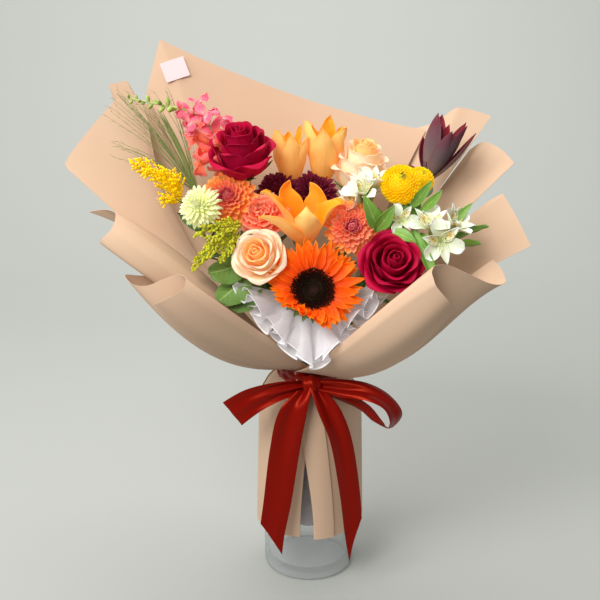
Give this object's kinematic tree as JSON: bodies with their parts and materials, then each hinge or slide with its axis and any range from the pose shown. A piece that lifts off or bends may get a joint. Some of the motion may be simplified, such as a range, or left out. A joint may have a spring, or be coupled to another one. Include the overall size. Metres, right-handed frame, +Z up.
{
  "type": "mixed flower bouquet in a glass cylinder vase",
  "caption": "Paper-wrapped mixed bouquet of roses, lilies, dahlias and a sunflower, with an organza collar and a satin bow, upright in a clear cylinder vase.",
  "frame": {"origin": "middle of the vase's foot, on the surface it stands on", "axes": "+Z up, -Y towards the front of the bouquet, +X to the right as seen from the front"},
  "size_m": [0.5171, 0.2746, 0.6321],
  "materials": {
    "vase_glass": "gloss",
    "liner_film": "satin",
    "wrap_paper": "matte",
    "card": "matte",
    "organza": "matte",
    "satin": "satin",
    "green_stem": "matte",
    "leaf": "satin",
    "crimson_petal": "matte",
    "peach_petal": "matte",
    "dahlia_petal": "matte",
    "coral_petal": "matte",
    "pale_green_petal": "matte",
    "sunflower_ray": "matte",
    "sunflower_disc": "matte",
    "lily_petal": "matte",
    "burgundy_petal": "matte",
    "yellow_petal": "matte",
    "yellow_green_floret": "matte",
    "white_petal": "matte",
    "dark_bract": "satin",
    "snapdragon_petal": "matte",
    "grass_blade": "matte"
  },
  "bodies": {
    "root": {"glass_vase": "vase_glass", "stem_liner": "liner_film", "gift_card": "card", "organza_ruffle": "organza", "satin_ribbon": "satin", "rose_crimson_left": "crimson_petal", "rose_crimson_right": "crimson_petal", "rose_peach_front": "peach_petal", "rose_peach_back": "peach_petal", "dahlia_left": "dahlia_petal", "dahlia_right": "dahlia_petal", "carnation_coral": "coral_petal", "carnation_pale_green": "pale_green_petal", "sunflower_rays": "sunflower_ray", "sunflower_disc": "sunflower_disc", "lily_front": "lily_petal", "lily_back_left": "lily_petal", "lily_back_right": "lily_petal", "mum_burgundy_left": "burgundy_petal", "mum_burgundy_right": "burgundy_petal", "pompon_yellow_front": "yellow_petal", "pompon_yellow_rear": "yellow_petal", "alstroemeria_left": "white_petal", "alstroemeria_middle": "white_petal", "alstroemeria_right": "white_petal", "goldenrod_yellow": "yellow_petal", "goldenrod_green": "yellow_green_floret", "leucadendron": "dark_bract", "snapdragon": "snapdragon_petal", "grass_fan": "grass_blade", "alstroemeria_leaf": "leaf", "rose_leaf_upper": "leaf", "rose_leaf_lower": "leaf", "back_sheet": "wrap_paper", "back_left_sheet": "wrap_paper", "left_upper_sheet": "wrap_paper", "left_middle_sheet": "wrap_paper", "left_front_sheet": "wrap_paper", "right_upper_sheet": "wrap_paper", "right_middle_sheet": "wrap_paper", "right_lower_sheet": "wrap_paper", "right_front_sheet": "wrap_paper", "rose_crimson_left_stem": "green_stem", "rose_crimson_right_stem": "green_stem", "rose_peach_front_stem": "green_stem", "rose_peach_back_stem": "green_stem", "dahlia_left_stem": "green_stem", "dahlia_right_stem": "green_stem", "carnation_coral_stem": "green_stem", "carnation_pale_green_stem": "green_stem", "sunflower_stem": "green_stem", "lily_stem": "green_stem", "mum_burgundy_stem": "green_stem", "pompon_yellow_stem": "green_stem", "alstroemeria_stem": "green_stem", "goldenrod_yellow_stem": "green_stem", "goldenrod_green_stem": "green_stem", "leucadendron_stem": "green_stem", "snapdragon_stem": "green_stem", "grass_stem": "green_stem"}
  },
  "joints": []
}
